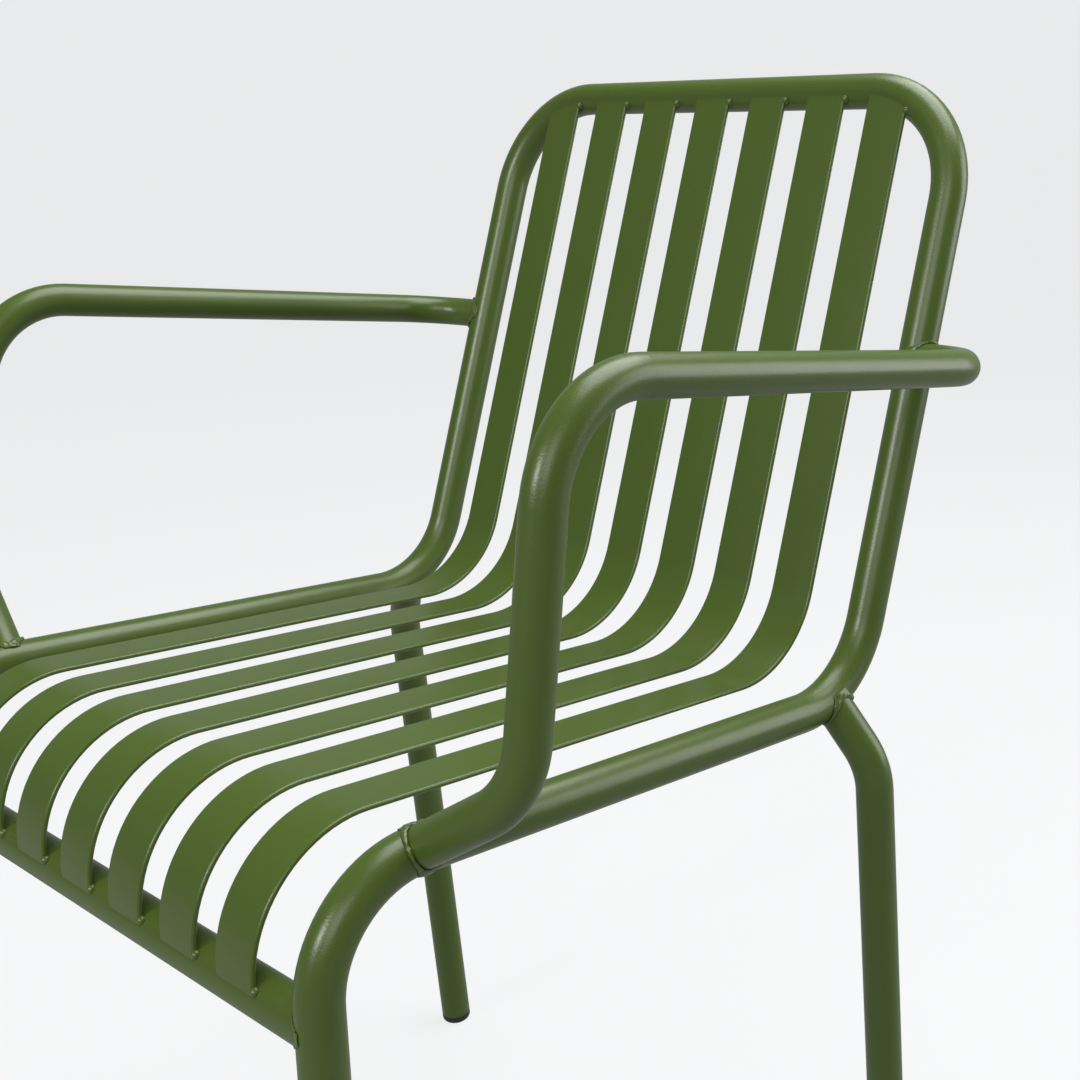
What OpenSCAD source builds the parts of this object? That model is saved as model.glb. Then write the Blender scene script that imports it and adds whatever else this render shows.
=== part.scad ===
// Stacking armchair of bent round tube with flat slats that run from the
// front of the seat to the top of the back.
// Millimetres. +Z up, the sitter faces -Y, +X is the sitter's left hand.
// Origin: on the floor, under the middle of the chair's overall box.

/* [Overall size] */
// Width over the outsides of the arm posts
overall_w = 580; // [545:1:640]
// Depth from the front of the legs to the back of the top rail
overall_d = 558; // [520:1:640]
// Height to the top of the top rail
overall_h = 809; // [740:1:900]

/* [Frame tube] */
// Outside diameter of the frame, front rail and rear leg tubes
frame_od = 24; // [22:0.5:28]
// Wall thickness of every tube
tube_wall = 1.5; // [1:0.1:2.5]
// Distance between the centre lines of the left and right frame tubes
frame_w = 422; // [400:1:460]
// Height of the side rail's centre line where it would meet the front leg
seat_rail_h = 447; // [410:1:490]
// Angle that the seat drops towards the back
seat_tilt = 4.2; // [0:0.1:8]
// Angle of the back from upright
back_tilt = 18.4; // [12:0.1:24]
// Bend radius, on the centre line, from front leg to side rail
knee_r = 57; // [48:1:90]
// Bend radius from side rail to back upright
hip_r = 67; // [58:1:95]
// Bend radius from back upright to top rail
shoulder_r = 74; // [55:1:90]
// Drop from the side rail's line, at its front corner, to the front rail's centre line
front_rail_drop = 71; // [71:1:110]

/* [Slats] */
// Width of a slat
slat_w = 32; // [26:0.5:38]
// Thickness of a slat
slat_t = 3; // [2.5:0.1:4]
// Distance from the middle of one slat to the middle of the next
slat_pitch = 52; // [44:0.5:54]
// How far a slat's outer face stands from the frame's centre line
slat_rise = 10.5; // [9:0.1:11]
// Bend radius of the slats at the front of the seat
slat_knee_r = 66; // [50:1:80]
// Bend radius of the slats between seat and back
slat_hip_r = 68; // [50:1:85]

/* [Arms] */
// Outside diameter of the arm tube
arm_od = 22.5; // [18:0.5:24]
// How much further out the front of an arm stands than its back
arm_splay = 12; // [0:0.5:20]
// Rise from the side rail's line to the arm's, both at their front corners
arm_rise = 225; // [190:1:290]
// Angle that the arm drops towards the back
arm_tilt = 6.8; // [2:0.1:9]
// Distance of the post's top behind the front leg
arm_setback = 96; // [85:1:130]
// Angle of the post from upright, its foot further forward
post_lean = 8; // [0:0.1:12]
// Rise from the side rail's line to where the post turns in to the frame
post_foot_rise = 39; // [25:1:45]
// Bend radius at the foot of the post
post_foot_r = 48; // [36:1:56]
// Bend radius from post to arm
elbow_r = 58; // [45:1:80]
// How far an arm's back corner stands in front of its weld
arm_back_lead = 12; // [0:0.5:18]
// Bend radius where the arm turns in to the back
arm_back_r = 44; // [30:1:46]
// Angle round the knee bend, back from the side rail, where the arm is welded
arm_weld_turn = 3; // [1:1:14]

/* [Rear legs] */
// How far outside the frame tube a rear leg stands at its top
rear_leg_out = 27; // [24:0.5:34]
// How much further in the rear foot is than the top of its leg
rear_leg_toe_in = 3; // [0:1:10]
// Drop from the frame tube to the leg's shoulder
rear_leg_drop = 44; // [38:1:50]
// How far the leg's shoulder stands behind its weld
rear_leg_back = 13; // [6:1:18]
// Angle that a rear leg leans back
rear_leg_lean = 4.4; // [0:0.1:8]
// Bend radius at the leg's shoulder
rear_leg_r = 56; // [46:1:62]
// Angle round the hip bend where the rear leg is welded
rear_weld_turn = 24; // [12:1:36]

/* [Foot glides] */
// Height of a glide below the end of its tube
glide_h = 7; // [5:0.5:12]
// Rounding of the glide's lower edge
glide_edge_r = 4; // [2:0.5:4.5]
// How far the glide's plug reaches into the tube
glide_plug_l = 18; // [12:1:30]
// Gap all round between plug and tube
glide_gap = 0.1; // [0.05:0.05:0.3]

/* [Welds] */
// Leg length of the fillet welds round the tube ends
weld_leg = 2.2; // [1.5:0.1:3]
// Radius of the small beads at the ends of the slats
bead_r = 2.6; // [2:0.1:3.5]

/* [Hidden] */
slat_count = 7;   // one of the nodes above for each

coat_green = [0.27, 0.34, 0.13];
weld_green = [0.30, 0.37, 0.16];
glide_black = [0.05, 0.05, 0.05];

$fn = 48;
lap = 0.4;        // straight runs reach this far into the bends beside them
nip = 0.02;       // a bend's section is this much slimmer, so that the two never coincide
$nip = 0;
parallel = 0.9;   // two unit vectors whose product is above this count as parallel
floor_cut = 1;    // glides are drawn this much too long, then cut flat at the floor

frame_r = frame_od / 2;
arm_r = arm_od / 2;
side_x = frame_w / 2;

// The front rail is as thick as the legs, so its weld is flatter than the others
// and stops a little short of the line where the two tubes' tops run together
rail_weld = weld_leg / 2;
rail_weld_rise = 0.9 * rail_weld;

// Directions along the frame, all in the plane x = side_x
along_leg = [0, 0, 1];
along_rail = [0, cos(seat_tilt), -sin(seat_tilt)];
along_back = [0, sin(back_tilt), cos(back_tilt)];

// Heights that follow the seat
front_rail_h = seat_rail_h - front_rail_drop;
arm_front_h = seat_rail_h + arm_rise;
post_foot_h = seat_rail_h + post_foot_rise;

// Corners where the frame's centre lines would meet
leg_y = -overall_d / 2 + frame_r + rail_weld;
top_y = overall_d / 2 - frame_r;
top_z = overall_h - frame_r;
foot_pt = [side_x, leg_y, glide_h];
knee_pt = [side_x, leg_y, seat_rail_h];
top_pt = [side_x, top_y, top_z];
hip_pt = meeting(knee_pt, along_rail, top_pt, along_back);
rail_mid = (knee_pt + hip_pt) / 2;
back_mid = (hip_pt + top_pt) / 2;

// Ends of the bends, on the centre line; the shoulder turns by a right angle
knee_end = knee_pt + along_rail * bend_reach(along_leg, along_rail, knee_r);
hip_start = hip_pt - along_rail * bend_reach(along_rail, along_back, hip_r);
shoulder_start = top_pt - along_back * shoulder_r;

// Where the arm and the rear leg are welded to the frame's bends
arm_foot = turned_point(knee_end, along_rail, rail_up(), knee_r, -arm_weld_turn, -1);
rear_top = turned_point(hip_start, along_rail, rail_up(), hip_r, rear_weld_turn, 1);

// Arm: foot, bottom of the post, elbow, back corner, and end on the upright
elbow_y = leg_y + arm_setback;
along_arm = [0, cos(arm_tilt), -sin(arm_tilt)];
arm_meet = meeting([0, elbow_y, arm_front_h], along_arm, top_pt, along_back);
arm_front_x = overall_w / 2 - arm_r;
arm_back_x = arm_front_x - arm_splay;
arm_elbow = [arm_front_x, elbow_y, arm_front_h];
post_foot = [
    arm_front_x,
    elbow_y - (arm_front_h - post_foot_h) * tan(post_lean),
    post_foot_h
];
arm_corner = [arm_back_x, arm_meet.y, arm_meet.z] - along_arm * arm_back_lead;
arm_end = [side_x, arm_meet.y, arm_meet.z];
arm_path = [arm_foot, post_foot, arm_elbow, arm_corner, arm_end];
arm_bends = [post_foot_r, elbow_r, arm_back_r];

// Rear leg: top on the frame, shoulder, and the end above the glide
leg_shoulder = rear_top + [rear_leg_out, rear_leg_back, -rear_leg_drop];
leg_fall = leg_shoulder.z - glide_h;
rear_foot = leg_shoulder + [-rear_leg_toe_in, leg_fall * tan(rear_leg_lean), -leg_fall];
rear_leg_path = [rear_top, leg_shoulder, rear_foot];
along_rear_leg = unit(rear_foot - leg_shoulder);

// Slats: the middle of their thickness runs at a constant distance from the frame
slat_off = slat_rise - slat_t / 2;
// Height above a rail's centre line at which the middle of a slat leaves the rail
slat_clear = sqrt(frame_r * frame_r - slat_off * slat_off);
slat_end_z = front_rail_h;
slat_knee = meeting(knee_pt + rail_up() * slat_off, along_rail,
                    knee_pt - [0, slat_off, 0], along_leg);
slat_hip = meeting(slat_knee, along_rail, top_pt - back_out() * slat_off, along_back);

// ---- Vectors -------------------------------------------------------------

function unit(v) = v / norm(v);
// Square to the side rail, upwards
function rail_up() = [0, sin(seat_tilt), cos(seat_tilt)];
// Square to the back, away from the sitter
function back_out() = [0, cos(back_tilt), -sin(back_tilt)];
// Where the line through p along u meets the line through q along v, in a plane of x
function meeting(p, u, q, v) =
    let (w = q - p, s = (w.y * v.z - w.z * v.y) / (u.y * v.z - u.z * v.y))
    p + u * s;
function turn_between(u, v) = acos(unit(u) * unit(v));
// How far a bend of radius r starts before the corner of its two centre lines
function bend_reach(u, v, r) = r * tan(turn_between(u, v) / 2);
// A point on a bend that leaves p along u; the centre lies on side * n
function turned_point(p, u, n, r, turn, side) =
    p + u * (r * sin(turn)) + n * (side * r * (1 - cos(turn)));
// The same point on the right-hand side
function right(v) = [-v.x, v.y, v.z];

// ---- Bent bars -----------------------------------------------------------

// Puts a child drawn at the origin at o, with its axes along x, y and z
module placed(o, x, y, z) {
    multmatrix([
        [x.x, y.x, z.x, o.x],
        [x.y, y.y, z.y, o.y],
        [x.z, y.z, z.z, o.z],
        [0, 0, 0, 1]
    ])
        children();
}

// A straight run of the child section from p to q; flat is the section's own y
module run(p, q, flat = [1, 0, 0]) {
    u = unit(q - p);
    square_off = abs(u * flat) > parallel ? [0, 0, 1] : flat;
    y = unit(square_off - u * (square_off * u));
    placed(p, cross(y, u), y, u)
        linear_extrude(height = norm(q - p))
            children();
}

// The child section turned round the corner c between directions u and v
module bend(c, u, v, r) {
    turn = turn_between(u, v);
    inward = unit(v - u * (u * v));
    start = c - u * bend_reach(u, v, r);
    $nip = nip;
    placed(start + inward * r, -inward, u, cross(-inward, u))
        rotate_extrude(angle = turn)
            translate([r, 0])
                children();
}

// The child section carried along a path of corners with a radius at each inner one
module bent(path, radii) {
    n = len(path);
    dirs = [for (i = [0:n - 2]) unit(path[i + 1] - path[i])];
    reach = [for (i = [1:n - 2]) bend_reach(dirs[i - 1], dirs[i], radii[i - 1])];
    for (i = [0:n - 2]) {
        before = i == 0 ? 0 : reach[i - 1] - lap;
        after = i == n - 2 ? 0 : reach[i] - lap;
        run(path[i] + dirs[i] * before, path[i + 1] - dirs[i] * after)
            children();
    }
    for (i = [1:n - 2])
        bend(path[i], dirs[i - 1], dirs[i], radii[i - 1])
            children();
}

module bar_section(r) {
    circle(r = r - $nip);
}

module tube_section(r) {
    difference() {
        bar_section(r);
        circle(r = r - tube_wall + $nip);
    }
}

// Flat bar with its two long edges fully rounded
module slat_section() {
    t = slat_t - 2 * $nip;
    square([t, slat_w - slat_t], center = true);
    for (s = [-1, 1])
        translate([0, s * (slat_w - slat_t) / 2])
            circle(d = t);
}

// ---- Frame ---------------------------------------------------------------

frame_half = [foot_pt, knee_pt, hip_pt, top_pt];
frame_path = concat(frame_half, [for (i = [3:-1:0]) right(frame_half[i])]);
frame_bends = [knee_r, hip_r, shoulder_r, shoulder_r, hip_r, knee_r];

module frame_tube() {
    color(coat_green)
        bent(frame_path, frame_bends)
            tube_section(frame_r);
}

// Solid bars along parts of the left frame tube, which other pieces are cut by
module knee_side(r) {
    bent([foot_pt, knee_pt, rail_mid], [knee_r])
        bar_section(r);
}

module hip_side(r) {
    bent([rail_mid, hip_pt, shoulder_start], [hip_r])
        bar_section(r);
}

module top_side(r) {
    bent([back_mid, top_pt, [-side_x / 2, top_y, top_z]], [shoulder_r])
        bar_section(r);
}

// The solid top rail with the shoulder bend on the same side as x
module top_bar(x) {
    mirror([x < 0 ? 1 : 0, 0, 0])
        top_side(frame_r);
}

// The child section carried along the front rail from centre line to centre line
module front_rail_bar() {
    placed([-side_x, leg_y, front_rail_h], [0, 1, 0], [0, 0, 1], [1, 0, 0])
        linear_extrude(height = frame_w)
            children();
}

module front_rail() {
    color(coat_green)
        difference() {
            front_rail_bar() tube_section(frame_r);
            knee_side(frame_r);
            mirror([1, 0, 0]) knee_side(frame_r);
        }
}

// ---- Slats ---------------------------------------------------------------

// How far the shoulder bend has dropped below the top rail at distance x out
function shoulder_drop(x) =
    let (out = abs(x) - (side_x - shoulder_r))
    out <= 0 ? 0 : shoulder_r - sqrt(shoulder_r * shoulder_r - out * out);

function slat_x(i) = (i - (slat_count + 1) / 2) * slat_pitch;

// Where slat i would cross the frame's centre line at the top, across by some way
function slat_top(i, across) =
    let (x = slat_x(i) + across)
    [x, top_y, top_z] - back_out() * slat_off - along_back * shoulder_drop(x);

module slat(i) {
    x = slat_x(i);
    top_end = (slat_top(i, slat_w / 2) + slat_top(i, -slat_w / 2)) / 2;
    path = [
        [x, slat_knee.y, slat_end_z],
        [x, slat_knee.y, slat_knee.z],
        [x, slat_hip.y, slat_hip.z],
        top_end
    ];
    color(coat_green)
        difference() {
            bent(path, [slat_knee_r, slat_hip_r]) slat_section();
            front_rail_bar() circle(r = frame_r);
            top_bar(x);
        }
}

// Small bead on the left edge of each slat where it meets the front rail
module slat_beads_front() {
    color(weld_green)
        difference() {
            for (i = [1:slat_count])
                translate([slat_x(i) + slat_w / 2, slat_knee.y, front_rail_h + slat_clear])
                    sphere(r = bead_r);
            for (x = [for (i = [1:slat_count]) slat_x(i)])
                run([x, slat_knee.y, front_rail_h], [x, slat_knee.y, front_rail_h + frame_od])
                    slat_section();
            front_rail_bar() circle(r = frame_r);
        }
}

// Small bead on the left edge of a slat where it meets the top rail
module slat_bead_top(i) {
    difference() {
        translate(slat_top(i, slat_w / 2) - along_back * slat_clear)
            sphere(r = bead_r);
        run(slat_top(i, 0) - along_back * 2 * frame_od, slat_top(i, 0))
            slat_section();
        top_bar(slat_x(i));
    }
}

module slat_beads_top() {
    color(weld_green)
        for (i = [1:slat_count])
            slat_bead_top(i);
}

// ---- Arms and rear legs --------------------------------------------------

module arm() {
    color(coat_green)
        difference() {
            bent(arm_path, arm_bends) tube_section(arm_r);
            knee_side(frame_r);
            hip_side(frame_r);
        }
}

module rear_leg() {
    color(coat_green)
        difference() {
            bent(rear_leg_path, [rear_leg_r]) tube_section(frame_r);
            hip_side(frame_r);
        }
}

// ---- Foot glides ---------------------------------------------------------

// Cap and plug along a leg that ends at p and runs down along u; cut flat on the floor
module glide(p, u) {
    plug_r = frame_r - tube_wall - glide_gap;
    across = unit(cross([0, 1, 0], -u));
    color(glide_black)
        difference() {
            placed(p, across, cross(-u, across), -u)
                rotate_extrude()
                    glide_profile(plug_r);
            translate([p.x, p.y, -frame_od])
                cube(2 * frame_od, center = true);
        }
}

// Half section of a glide: plug above, cap with a rounded edge below
module glide_profile(plug_r) {
    cap = glide_h + floor_cut;
    square([plug_r, glide_plug_l]);
    translate([0, -glide_h + glide_edge_r])
        square([frame_r, glide_h - glide_edge_r]);
    translate([0, -cap])
        square([frame_r - glide_edge_r, cap]);
    intersection() {
        translate([frame_r - glide_edge_r, -glide_h + glide_edge_r])
            circle(r = glide_edge_r);
        translate([0, -cap])
            square([frame_r, cap]);
    }
}

// ---- Welds ---------------------------------------------------------------

// Fillet round the end of a branch tube that leaves the frame at p along u; the
// children are the frame grown by the weld, and the frame itself
module tube_weld(p, u, r, leg = weld_leg) {
    difference() {
        intersection() {
            run(p, p + u * 3 * r) circle(r = r + leg);
            children(0);
        }
        run(p, p + u * 4 * r) circle(r = r);
        children(1);
    }
}

module front_rail_weld() {
    tube_weld([side_x, leg_y, front_rail_h], [-1, 0, 0], frame_r, rail_weld) {
        knee_side(frame_r + rail_weld_rise);
        knee_side(frame_r);
    }
}

module arm_front_weld() {
    tube_weld(arm_foot, unit(post_foot - arm_foot), arm_r) {
        knee_side(frame_r + weld_leg);
        knee_side(frame_r);
    }
}

module arm_back_weld() {
    tube_weld(arm_end, unit(arm_corner - arm_end), arm_r) {
        hip_side(frame_r + weld_leg);
        hip_side(frame_r);
    }
}

module rear_leg_weld() {
    tube_weld(rear_top, unit(leg_shoulder - rear_top), frame_r) {
        hip_side(frame_r + weld_leg);
        hip_side(frame_r);
    }
}

module both_sides() {
    children();
    mirror([1, 0, 0]) children();
}

// ---- Drawing -------------------------------------------------------------

module front_left_glide() {
    glide(foot_pt, -along_leg);
}

module rear_left_glide() {
    glide(rear_foot, along_rear_leg);
}

frame_tube();
front_rail();
slat(1);  // slat_1
slat(2);  // slat_2
slat(3);  // slat_3
slat(4);  // slat_4
slat(5);  // slat_5
slat(6);  // slat_6
slat(7);  // slat_7
arm();  // arm_left
mirror([1, 0, 0]) arm();  // arm_right
rear_leg();  // rear_leg_left
mirror([1, 0, 0]) rear_leg();  // rear_leg_right
front_left_glide();  // glide_front_left
mirror([1, 0, 0]) front_left_glide();  // glide_front_right
rear_left_glide();  // glide_rear_left
mirror([1, 0, 0]) rear_left_glide();  // glide_rear_right
slat_beads_front();
slat_beads_top();
color(weld_green) both_sides() front_rail_weld();  // front_rail_welds
color(weld_green) both_sides() arm_front_weld();  // arm_front_welds
color(weld_green) both_sides() arm_back_weld();  // arm_back_welds
color(weld_green) both_sides() rear_leg_weld();  // rear_leg_welds
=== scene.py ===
# %% [markdown]
# # A welded stacking armchair in Blender
#
# The chair is bent from round steel tube, with seven flat bars that sweep up
# over the front of the seat, along it and on to the top of the back. It is
# welded, then powder coated all over in one satin moss green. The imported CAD
# model is loaded first and never moved: every piece below takes its place
# from it, in metres, with +Z up and the sitter facing -Y.

# %% Load the frame
import math

import bpy
from mathutils import Matrix, Vector


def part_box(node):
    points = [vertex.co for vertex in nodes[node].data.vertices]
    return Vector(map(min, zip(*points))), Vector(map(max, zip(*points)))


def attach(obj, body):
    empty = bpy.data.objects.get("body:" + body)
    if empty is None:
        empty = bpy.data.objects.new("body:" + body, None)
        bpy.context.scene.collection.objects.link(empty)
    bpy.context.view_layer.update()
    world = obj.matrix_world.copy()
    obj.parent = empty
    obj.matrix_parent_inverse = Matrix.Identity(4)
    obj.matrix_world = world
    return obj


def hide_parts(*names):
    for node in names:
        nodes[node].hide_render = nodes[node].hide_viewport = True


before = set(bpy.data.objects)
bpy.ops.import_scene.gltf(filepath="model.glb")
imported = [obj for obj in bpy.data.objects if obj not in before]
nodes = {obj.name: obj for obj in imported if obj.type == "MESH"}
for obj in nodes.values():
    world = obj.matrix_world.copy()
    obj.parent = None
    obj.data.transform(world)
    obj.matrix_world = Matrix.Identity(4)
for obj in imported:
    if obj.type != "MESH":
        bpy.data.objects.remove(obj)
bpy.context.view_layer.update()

# %% [markdown]
# ## Camera
#
# The chair is seen from in front and to the sitter's left, from a little above
# the arms, close enough that the feet and one arm run out of the frame. A
# small lens shift stands in for the part of the view that a turn of the
# camera alone can't give. It is kept small because other views keep it too.

# %% Camera
camera_data = bpy.data.cameras.new("camera")
camera_data.sensor_width = 36
camera_data.lens = 52.03
camera_data.shift_x = -0.148
camera_data.shift_y = -0.074
camera = bpy.data.objects.new("camera", camera_data)
camera.location = (0.7738, -0.6250, 0.7813)
camera_heading = 41.991
camera_drop = 12.367
camera_roll = -0.973


def aim(obj, heading, drop, roll):
    """Points obj at heading degrees from +Y towards -X, drop degrees below level, then rolls it."""
    a, e, r = (math.radians(v) for v in (heading, drop, roll))
    ahead = Vector((-math.sin(a) * math.cos(e), math.cos(a) * math.cos(e), -math.sin(e)))
    right = ahead.cross(Vector((0, 0, 1))).normalized()
    up = right.cross(ahead)
    right, up = right * math.cos(r) + up * math.sin(r), up * math.cos(r) - right * math.sin(r)
    obj.rotation_mode = "QUATERNION"
    axes = ((right.x, up.x, -ahead.x), (right.y, up.y, -ahead.y), (right.z, up.z, -ahead.z))
    obj.rotation_quaternion = Matrix(axes).to_quaternion()


aim(camera, camera_heading, camera_drop, camera_roll)
bpy.context.scene.collection.objects.link(camera)
bpy.context.scene.camera = camera
print("lens", round(camera_data.lens, 1), "mm")

# %% [markdown]
# ## Sizes taken from the CAD model
#
# The tube's diameter, the legs' places, the top rail's height and the slats'
# width are read off the CAD boxes, so they can't drift from it. The angles, bend
# radii and the slats' thickness can't be read from a box, so they are named here
# with the values the CAD model has.

# %% Sizes
frame_lo, frame_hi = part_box("frame_tube")
rail_lo, rail_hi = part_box("front_rail")
slat_lo, slat_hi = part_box("slat_4")

tube_r = (rail_hi.z - rail_lo.z) / 2
side_x = frame_hi.x - tube_r
leg_y = frame_lo.y + tube_r
top_y = frame_hi.y - tube_r
top_z = frame_hi.z - tube_r
leg_end_z = frame_lo.z
front_rail_z = (rail_lo.z + rail_hi.z) / 2

seat_rail_h = 0.447
seat_tilt = math.radians(4.2)
back_tilt = math.radians(18.4)
knee_r, hip_r, shoulder_r = 0.057, 0.067, 0.074

slat_w = slat_hi.x - slat_lo.x
slat_t = 0.003
slat_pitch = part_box("slat_5")[0].x - slat_lo.x
slat_off = 0.0105 - slat_t / 2
slat_knee_r, slat_hip_r = 0.066, 0.068
slat_count = 7
slat_top_drop = 0.0044
print("tube", round(tube_r * 2000, 1), "mm; slat", round(slat_w * 1000, 1), "mm wide")

# %% [markdown]
# ## Points on the frame
#
# In side view the frame is four straight lines that meet at the knee, the hip
# and the shoulder. Two lines cross where one equation says, so the hip is
# worked out from the two slopes and is not typed in.

# %% Corners of the frame
along_leg = Vector((0, 0, 1))
along_rail = Vector((0, math.cos(seat_tilt), -math.sin(seat_tilt)))
along_back = Vector((0, math.sin(back_tilt), math.cos(back_tilt)))
rail_up = Vector((0, math.sin(seat_tilt), math.cos(seat_tilt)))
back_out = Vector((0, math.cos(back_tilt), -math.sin(back_tilt)))


def meeting(p, u, q, v):
    """Where the line through p along u meets the line through q along v, in a plane of x."""
    w = q - p
    return p + u * ((w.y * v.z - w.z * v.y) / (u.y * v.z - u.z * v.y))


foot_pt = Vector((side_x, leg_y, leg_end_z))
knee_pt = Vector((side_x, leg_y, seat_rail_h))
top_pt = Vector((side_x, top_y, top_z))
hip_pt = meeting(knee_pt, along_rail, top_pt, along_back)
print("hip corner at", tuple(round(v, 4) for v in hip_pt))


def mirrored(p):
    return Vector((-p.x, p.y, p.z))


# %% [markdown]
# ## A bent bar, made with Geometry Nodes
#
# Every metal piece here is a bar of one section bent round a few corners. One
# node tree makes them all: it rounds each corner of a polyline by its own
# radius, carries a section along it, and gives it a material. A tube can turn
# about its own line without harm, so it takes the least twist. A flat bar must
# stay flat across the chair, so a switch sets its normal to +X all the way.

# %% Node helpers
def new_tree(name, inputs):
    """A Geometry Nodes tree with a Geometry in and out, and named inputs (name, kind, default)."""
    tree = bpy.data.node_groups.new(name, "GeometryNodeTree")
    tree.interface.new_socket("Geometry", in_out="INPUT", socket_type="NodeSocketGeometry")
    tree.interface.new_socket("Geometry", in_out="OUTPUT", socket_type="NodeSocketGeometry")
    for label, kind, default in inputs:
        socket = tree.interface.new_socket(label, in_out="INPUT", socket_type=kind)
        if default is not None:
            socket.default_value = default
    return tree, tree.nodes.new("NodeGroupInput"), tree.nodes.new("NodeGroupOutput")


def node(tree, kind, **settings):
    made = tree.nodes.new(kind)
    for key, value in settings.items():
        setattr(made, key, value)
    return made


def sum_node(tree, operation, first, second):
    """A math node on two values, each an output socket or a plain number; gives its output."""
    made = node(tree, "ShaderNodeMath", operation=operation)
    for socket, value in zip(made.inputs, (first, second)):
        if isinstance(value, (int, float)):
            socket.default_value = value
        else:
            tree.links.new(value, socket)
    return made.outputs["Value"]


def close_tree(tree, geometry, inp, out):
    """Ends a tree: real meshes, smooth shading, and the material from the inputs."""
    link = tree.links.new
    real = node(tree, "GeometryNodeRealizeInstances")
    link(geometry, real.inputs["Geometry"])
    smooth = node(tree, "GeometryNodeSetShadeSmooth")
    link(real.outputs["Geometry"], smooth.inputs["Geometry"])
    paint = node(tree, "GeometryNodeSetMaterial")
    link(smooth.outputs["Geometry"], paint.inputs["Geometry"])
    link(inp.outputs["Material"], paint.inputs["Material"])
    link(paint.outputs["Geometry"], out.inputs["Geometry"])
    return tree


def set_inputs(modifier, values):
    """Sets a modifier's inputs by the identifiers of the sockets that have these names."""
    for item in modifier.node_group.interface.items_tree:
        if item.item_type == "SOCKET" and item.in_out == "INPUT" and item.name in values:
            modifier[item.identifier] = values[item.name]


def finished(obj, tree, values, material):
    """Runs tree on obj, keeps the result as a plain mesh at the origin and drops the modifier."""
    modifier = obj.modifiers.new("build", "NODES")
    modifier.node_group = tree
    set_inputs(modifier, dict(values, Material=material))
    evaluated = obj.evaluated_get(bpy.context.evaluated_depsgraph_get())
    mesh = bpy.data.meshes.new_from_object(evaluated)
    obj.modifiers.clear()
    result = bpy.data.objects.new(obj.name + "_done", mesh)
    name = obj.name
    bpy.data.objects.remove(obj)
    result.name = name
    mesh.name = name
    bpy.context.scene.collection.objects.link(result)
    return result


# %% The bent bar tree
def bent_bar_tree():
    """Polyline in; section carried round its filleted corners out."""
    tree, inp, out = new_tree("bent bar", [
        ("Width", "NodeSocketFloat", 0.024),
        ("Thickness", "NodeSocketFloat", 0.024),
        ("Corner", "NodeSocketFloat", 0.012),
        ("Keep Flat", "NodeSocketBool", False),
        ("Copies", "NodeSocketInt", 1),
        ("Pitch", "NodeSocketFloat", 0.05),
        ("Material", "NodeSocketMaterial", None),
    ])
    link = tree.links.new
    to_curve = node(tree, "GeometryNodeMeshToCurve")
    link(inp.outputs["Geometry"], to_curve.inputs["Mesh"])
    radius = node(tree, "GeometryNodeInputNamedAttribute", data_type="FLOAT")
    radius.inputs["Name"].default_value = "bend_radius"
    fillet = node(tree, "GeometryNodeFilletCurve", mode="POLY")
    fillet.inputs["Count"].default_value = 20
    link(to_curve.outputs["Curve"], fillet.inputs["Curve"])
    link(radius.outputs["Attribute"], fillet.inputs["Radius"])
    flat = node(tree, "GeometryNodeSetCurveNormal", mode="FREE")
    flat.inputs["Normal"].default_value = (1, 0, 0)
    link(fillet.outputs["Curve"], flat.inputs["Curve"])
    steady = node(tree, "GeometryNodeSetCurveNormal", mode="MINIMUM_TWIST")
    link(fillet.outputs["Curve"], steady.inputs["Curve"])
    pick = node(tree, "GeometryNodeSwitch", input_type="GEOMETRY")
    link(inp.outputs["Keep Flat"], pick.inputs["Switch"])
    link(steady.outputs["Curve"], pick.inputs["False"])
    link(flat.outputs["Curve"], pick.inputs["True"])
    outline = node(tree, "GeometryNodeCurvePrimitiveQuadrilateral")
    link(inp.outputs["Thickness"], outline.inputs["Height"])
    link(inp.outputs["Width"], outline.inputs["Width"])
    rounded = node(tree, "GeometryNodeFilletCurve", mode="POLY")
    rounded.inputs["Count"].default_value = 14
    link(outline.outputs["Curve"], rounded.inputs["Curve"])
    link(inp.outputs["Corner"], rounded.inputs["Radius"])
    sweep = node(tree, "GeometryNodeCurveToMesh")
    sweep.inputs["Fill Caps"].default_value = True
    link(pick.outputs["Output"], sweep.inputs["Curve"])
    link(rounded.outputs["Curve"], sweep.inputs["Profile Curve"])
    row = node(tree, "GeometryNodeMeshLine")
    link(inp.outputs["Copies"], row.inputs["Count"])
    offset = node(tree, "ShaderNodeCombineXYZ")
    link(inp.outputs["Pitch"], offset.inputs["X"])
    link(offset.outputs["Vector"], row.inputs["Offset"])
    place = node(tree, "GeometryNodeInstanceOnPoints")
    link(row.outputs["Mesh"], place.inputs["Points"])
    link(sweep.outputs["Mesh"], place.inputs["Instance"])
    return close_tree(tree, place.outputs["Instances"], inp, out)


bent_bar = bent_bar_tree()
print("tree", bent_bar.name, "has", len(bent_bar.nodes), "nodes")


# %% A polyline with a bend radius at each corner
def polyline(name, points, radii):
    """Mesh edges through points; radii has one bend radius for each inner point."""
    mesh = bpy.data.meshes.new(name)
    mesh.from_pydata(points, [(i, i + 1) for i in range(len(points) - 1)], [])
    attribute = mesh.attributes.new("bend_radius", "FLOAT", "POINT")
    attribute.data.foreach_set("value", [0.0, *radii, 0.0])
    obj = bpy.data.objects.new(name, mesh)
    bpy.context.scene.collection.objects.link(obj)
    return obj


# %% [markdown]
# ## Finishes
#
# Powder coat melts into a skin with a very fine orange peel: shallow dimples
# about a millimetre across that break up reflections but not colour. Several
# finishes need it, so it is a node group. The Principled shader stays in each
# material.

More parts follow.
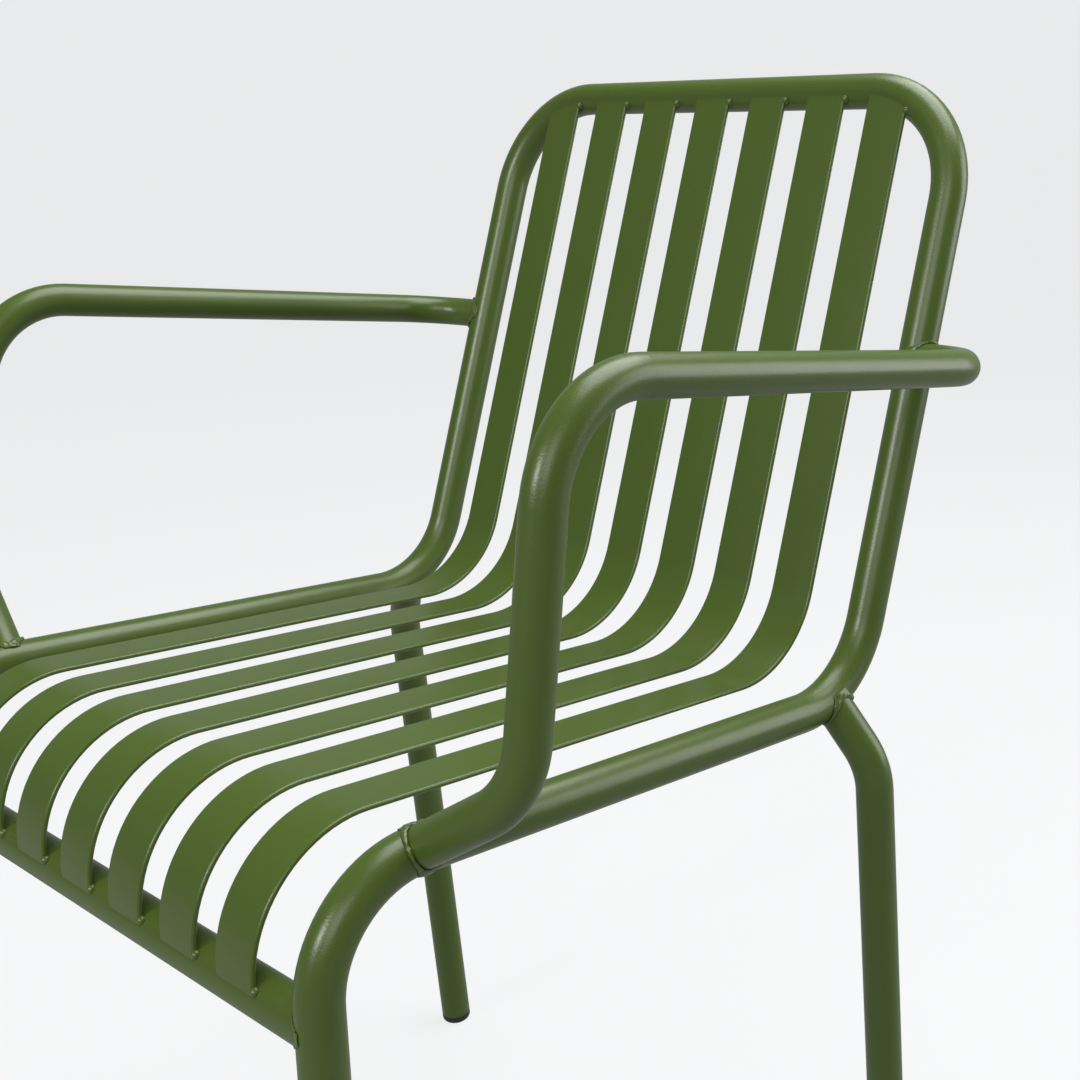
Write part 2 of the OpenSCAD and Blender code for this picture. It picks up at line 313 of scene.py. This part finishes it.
# %% Orange peel group
def peel_group():
    """Height, a colour mask and a roughness mask that vary over the surface."""
    group = bpy.data.node_groups.new("orange peel", "ShaderNodeTree")
    face = group.interface
    face.new_socket("Dimple Scale", in_out="INPUT", socket_type="NodeSocketFloat").default_value = 900
    face.new_socket("Cloud Scale", in_out="INPUT", socket_type="NodeSocketFloat").default_value = 14
    face.new_socket("Height", in_out="OUTPUT", socket_type="NodeSocketFloat")
    face.new_socket("Cloud", in_out="OUTPUT", socket_type="NodeSocketFloat")
    face.new_socket("Rub", in_out="OUTPUT", socket_type="NodeSocketFloat")
    inp, out = group.nodes.new("NodeGroupInput"), group.nodes.new("NodeGroupOutput")
    where = group.nodes.new("ShaderNodeTexCoord")
    link = group.links.new
    dimple = group.nodes.new("ShaderNodeTexNoise")
    dimple.inputs["Detail"].default_value = 1.5
    dimple.inputs["Roughness"].default_value = 0.45
    link(where.outputs["Object"], dimple.inputs["Vector"])
    link(inp.outputs["Dimple Scale"], dimple.inputs["Scale"])
    cloud = group.nodes.new("ShaderNodeTexNoise")
    cloud.inputs["Detail"].default_value = 3
    link(where.outputs["Object"], cloud.inputs["Vector"])
    link(inp.outputs["Cloud Scale"], cloud.inputs["Scale"])
    rub = group.nodes.new("ShaderNodeTexNoise")
    rub.inputs["Scale"].default_value = 60
    rub.inputs["Detail"].default_value = 5
    link(where.outputs["Object"], rub.inputs["Vector"])
    link(dimple.outputs["Fac"], out.inputs["Height"])
    link(cloud.outputs["Fac"], out.inputs["Cloud"])
    link(rub.outputs["Fac"], out.inputs["Rub"])
    return group


orange_peel = peel_group()


# %% [markdown]
# ## Coat and glide materials
#
# The coat is a paint, so it is not metallic: a green base, a medium-low
# roughness, and a slight lift of colour and roughness from place to place.
# Weld metal under the same coat is lumpier. The glides are matt black plastic.

# %% Materials
def coated(name, dark, light, rough, bump, dimple_scale, specular=0.5):
    """A finish whose colour and roughness wander between two values."""
    material = bpy.data.materials.new(name)
    material.use_nodes = True
    tree = material.node_tree
    shader = tree.nodes["Principled BSDF"]
    peel = tree.nodes.new("ShaderNodeGroup")
    peel.node_tree = orange_peel
    peel.inputs["Dimple Scale"].default_value = dimple_scale
    mix = tree.nodes.new("ShaderNodeMix")
    mix.data_type = "RGBA"
    mix.inputs["A"].default_value = (*dark, 1)
    mix.inputs["B"].default_value = (*light, 1)
    tree.links.new(peel.outputs["Cloud"], mix.inputs["Factor"])
    tree.links.new(mix.outputs["Result"], shader.inputs["Base Color"])
    spread = tree.nodes.new("ShaderNodeMapRange")
    spread.inputs["To Min"].default_value = rough[0]
    spread.inputs["To Max"].default_value = rough[1]
    tree.links.new(peel.outputs["Rub"], spread.inputs["Value"])
    tree.links.new(spread.outputs["Result"], shader.inputs["Roughness"])
    dents = tree.nodes.new("ShaderNodeBump")
    dents.inputs["Strength"].default_value = bump
    dents.inputs["Distance"].default_value = 0.0003
    tree.links.new(peel.outputs["Height"], dents.inputs["Height"])
    tree.links.new(dents.outputs["Normal"], shader.inputs["Normal"])
    shader.inputs["Specular IOR Level"].default_value = specular
    return material


moss_coat = coated(
    "moss green powder coat", dark=(0.050, 0.083, 0.011), light=(0.058, 0.094, 0.014),
    rough=(0.28, 0.36), bump=0.25, dimple_scale=900, specular=0.4)
weld_coat = coated(
    "moss green coat on welds", dark=(0.052, 0.085, 0.012), light=(0.064, 0.100, 0.018),
    rough=(0.24, 0.36), bump=0.5, dimple_scale=420)
glide_plastic = coated(
    "matt black glide plastic", dark=(0.010, 0.010, 0.010), light=(0.016, 0.016, 0.015),
    rough=(0.5, 0.62), bump=0.35, dimple_scale=1400)
print("materials:", [m.name for m in bpy.data.materials])


# %% [markdown]
# ## Frame tube
#
# One long tube makes both front legs, both sides and the top rail. It is the
# bent bar tree's simplest use: eight points and six bends.

# %% Frame tube
ROUNDED = 0.4995  # corner radius over thickness; a full half would leave edges of no length


def tube(name, points, radii, r, stands_for):
    """A round tube on a path; it takes the place of the CAD node it stands for."""
    line = polyline(name, points, radii)
    sizes = {"Width": 2 * r, "Thickness": 2 * r, "Corner": 2 * r * ROUNDED, "Copies": 1}
    piece = finished(line, bent_bar, sizes, moss_coat)
    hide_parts(stands_for)
    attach(piece, "root")
    return piece


frame_half = [foot_pt, knee_pt, hip_pt, top_pt]
frame_points = frame_half + [mirrored(p) for p in reversed(frame_half)]
bends = [knee_r, hip_r, shoulder_r]
frame_piece = tube("main_frame_tube", frame_points, bends + bends[::-1], tube_r, "frame_tube")
print("frame tube:", len(frame_piece.data.polygons), "faces")

# %% [markdown]
# ## Slats
#
# The seven slats are the same bar, so the tree bends one and repeats it across
# the chair. Its two long edges are fully rounded. Each end stops inside the front
# rail and the top rail. The shoulder bends start to drop where the outer slats
# meet them, so all seven stop a few millimetres below the top rail's middle.

# %% Slats
slat_knee = meeting(knee_pt + rail_up * slat_off, along_rail, knee_pt - Vector((0, slat_off, 0)), along_leg)
slat_top = top_pt - back_out * slat_off - along_back * slat_top_drop
slat_hip = meeting(slat_knee, along_rail, slat_top, along_back)
slat_x = (slat_lo.x + slat_hi.x) / 2 - (slat_count - 1) / 2 * slat_pitch
slat_points = [
    Vector((slat_x, slat_knee.y, front_rail_z)),
    Vector((slat_x, slat_knee.y, slat_knee.z)),
    Vector((slat_x, slat_hip.y, slat_hip.z)),
    Vector((slat_x, slat_top.y, slat_top.z)),
]
slat_line = polyline("slats", slat_points, [slat_knee_r, slat_hip_r])
slat_sizes = {"Width": slat_w, "Thickness": slat_t, "Corner": slat_t * ROUNDED,
              "Keep Flat": True, "Copies": slat_count, "Pitch": slat_pitch}
slats = finished(slat_line, bent_bar, slat_sizes, moss_coat)
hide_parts(*[f"slat_{i}" for i in range(1, slat_count + 1)])
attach(slats, "root")
print("slats box", [round(v, 3) for v in slats.dimensions])

# %% [markdown]
# ## Pieces that keep their CAD shape
#
# The arms, rear legs, front rail, glides and the slats' small beads are right as
# they are, so they stay and only take a finish.

# %% Finish the CAD pieces
def coat(name, material):
    nodes[name].data.materials.clear()
    nodes[name].data.materials.append(material)


for name in ("front_rail", "arm_left", "arm_right", "rear_leg_left", "rear_leg_right"):
    coat(name, moss_coat)
for name in nodes:
    if name.startswith("glide"):
        coat(name, glide_plastic)
    if name.startswith("slat_beads"):
        coat(name, weld_coat)
print(len(nodes), "CAD nodes, of which", sum(n.startswith("glide") for n in nodes), "are glides")

# %% [markdown]
# ## Hand-made welds
#
# A weld laid by hand is a row of small overlapping puddles, so it is neither
# smooth nor even. The CAD model has each one as a clean fillet ring. A second
# tree takes a copy of the ring, remakes it as one skin of small even faces, and
# pushes each point in or out by a noise whose seed is an input. The skin is sunk
# a little as a whole, so that its edges melt into the tubes.

# %% The weld tree
def weld_tree():
    """Clean ring in; lumpy skin of the same ring out."""
    tree, inp, out = new_tree("hand weld", [
        ("Grain", "NodeSocketFloat", 0.0006),
        ("Lump Height", "NodeSocketFloat", 0.001),
        ("Lump Scale", "NodeSocketFloat", 260.0),
        ("Sink", "NodeSocketFloat", 0.0003),
        ("Seed", "NodeSocketFloat", 0.0),
        ("Material", "NodeSocketMaterial", None),
    ])
    link = tree.links.new
    solid = node(tree, "GeometryNodeMeshToVolume", resolution_mode="VOXEL_SIZE")
    solid.inputs["Density"].default_value = 1.0
    solid.inputs["Interior Band Width"].default_value = 0.004
    link(inp.outputs["Geometry"], solid.inputs["Mesh"])
    link(inp.outputs["Grain"], solid.inputs["Voxel Size"])
    skin = node(tree, "GeometryNodeVolumeToMesh")
    skin.inputs["Threshold"].default_value = 0.1
    link(solid.outputs["Volume"], skin.inputs["Volume"])
    noise = node(tree, "ShaderNodeTexNoise", noise_dimensions="4D")
    noise.inputs["Detail"].default_value = 1.0
    link(inp.outputs["Lump Scale"], noise.inputs["Scale"])
    link(inp.outputs["Seed"], noise.inputs["W"])
    centred = sum_node(tree, "SUBTRACT", noise.outputs["Fac"], 0.5)
    height = sum_node(tree, "MULTIPLY", centred, inp.outputs["Lump Height"])
    sunk = sum_node(tree, "SUBTRACT", height, inp.outputs["Sink"])
    outward = node(tree, "GeometryNodeInputNormal")
    push = node(tree, "ShaderNodeVectorMath", operation="SCALE")
    link(outward.outputs["Normal"], push.inputs[0])
    link(sunk, push.inputs["Scale"])
    moved = node(tree, "GeometryNodeSetPosition")
    link(skin.outputs["Mesh"], moved.inputs["Geometry"])
    link(push.outputs["Vector"], moved.inputs["Offset"])
    return close_tree(tree, moved.outputs["Geometry"], inp, out)


# %% Lumpy welds
hand_weld = weld_tree()
weld_sizes = {  # lump height, lump scale, seed
    "front_rail_welds": (0.0008, 200.0, 1.0),
    "arm_front_welds": (0.0026, 190.0, 2.0),
    "arm_back_welds": (0.0020, 190.0, 3.0),
    "rear_leg_welds": (0.0020, 170.0, 4.0),
}
for name, (lump, scale, seed) in weld_sizes.items():
    ring = bpy.data.objects.new("lumpy_" + name, nodes[name].data.copy())
    bpy.context.scene.collection.objects.link(ring)
    values = {"Grain": 0.0005, "Lump Height": lump, "Lump Scale": scale, "Sink": 0.0003, "Seed": seed}
    piece = finished(ring, hand_weld, values, weld_coat)
    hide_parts(name)
    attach(piece, "root")
    print(piece.name, len(piece.data.polygons), "faces", [round(v, 3) for v in piece.dimensions])

# %% [markdown]
# ## Floor, backdrop and light
#
# A pale seamless floor sweeps up into a wall behind the chair, and the air beyond
# it has the same tone, so no horizon shows from any side. Both look evenly pale
# to the camera, but give the chair much less light than they show: a studio has
# its backdrop lit by lamps that don't reach the object. That keeps the undersides
# dark and the paint's green clean. Soft lamps overhead, in front and at the right
# draw the long pale lines along the tubes, and a wide one near the camera fills in.

# %% Floor and backdrop
def sweep_floor():
    """A strip that runs along the floor, bends up and becomes a wall."""
    reach, bend, height, half = 6.0, 2.0, 6.0, 14.0
    profile = [(-10.0, 0.0), (reach, 0.0)]
    for i in range(1, 17):
        a = math.radians(90 * i / 16)
        profile.append((reach + bend * math.sin(a), bend * (1 - math.cos(a))))
    profile.append((reach + bend, height))
    heading = math.radians(camera_heading)
    away = Vector((-math.sin(heading), math.cos(heading), 0))
    across = Vector((math.cos(heading), math.sin(heading), 0))
    points = [away * d + Vector((0, 0, z)) + across * s for d, z in profile for s in (-half, half)]
    faces = [(2 * i, 2 * i + 1, 2 * i + 3, 2 * i + 2) for i in range(len(profile) - 1)]
    mesh = bpy.data.meshes.new("studio_floor")
    mesh.from_pydata(points, [], faces)
    for polygon in mesh.polygons:
        polygon.use_smooth = True
    floor = bpy.data.objects.new("studio_floor", mesh)
    bpy.context.scene.collection.objects.link(floor)
    return floor


def seen_or_given(tree, strength, seen, given):
    """Drives a strength: seen by the camera as one value, given to the chair as another."""
    ray = tree.nodes.new("ShaderNodeLightPath")
    glow = tree.nodes.new("ShaderNodeMapRange")
    glow.inputs["To Min"].default_value = given
    glow.inputs["To Max"].default_value = seen
    tree.links.new(ray.outputs["Is Camera Ray"], glow.inputs["Value"])
    tree.links.new(glow.outputs["Result"], strength)


PAPER_SEEN = 0.80
PAPER_GIVEN = 0.34
paper = bpy.data.materials.new("studio paper")
paper.use_nodes = True
paper_shader = paper.node_tree.nodes["Principled BSDF"]
paper_shader.inputs["Base Color"].default_value = (0.10, 0.10, 0.10, 1)
paper_shader.inputs["Roughness"].default_value = 1.0
paper_shader.inputs["Specular IOR Level"].default_value = 0.0
paper_shader.inputs["Emission Color"].default_value = (0.985, 0.99, 1.0, 1)
seen_or_given(paper.node_tree, paper_shader.inputs["Emission Strength"], PAPER_SEEN, PAPER_GIVEN)
floor = sweep_floor()
floor.data.materials.append(paper)
print("paper: seen at", PAPER_SEEN, "and given at", PAPER_GIVEN)


# %% Lights
def lamp(name, place, target, size, power, colour=(1, 1, 1)):
    data = bpy.data.lights.new(name, "AREA")
    data.shape = "RECTANGLE"
    data.size, data.size_y = size
    data.energy = power
    data.color = colour
    obj = bpy.data.objects.new(name, data)
    obj.location = place
    obj.rotation_euler = (Vector(target) - Vector(place)).to_track_quat("-Z", "Y").to_euler()
    obj.visible_camera = False
    bpy.context.scene.collection.objects.link(obj)
    return obj


middle = (0, 0, 0.45)
lamp("overhead", (0.2, 0.7, 2.4), middle, (1.8, 1.8), 66)
lamp("front", (-0.2, -3.0, 1.9), middle, (0.8, 0.8), 56)
lamp("fill", (1.9, -2.6, 2.3), middle, (1.8, 1.8), 42)
lamp("right", (1.9, 2.4, 1.3), middle, (1.8, 2.0), 50)

world = bpy.data.worlds.new("studio air")
world.use_nodes = True
air = world.node_tree.nodes["Background"]
air.inputs["Color"].default_value = (0.985, 0.99, 1.0, 1)
seen_or_given(world.node_tree, air.inputs["Strength"], PAPER_SEEN, 0.16)
bpy.context.scene.world = world
bpy.context.scene.view_settings.view_transform = "Standard"
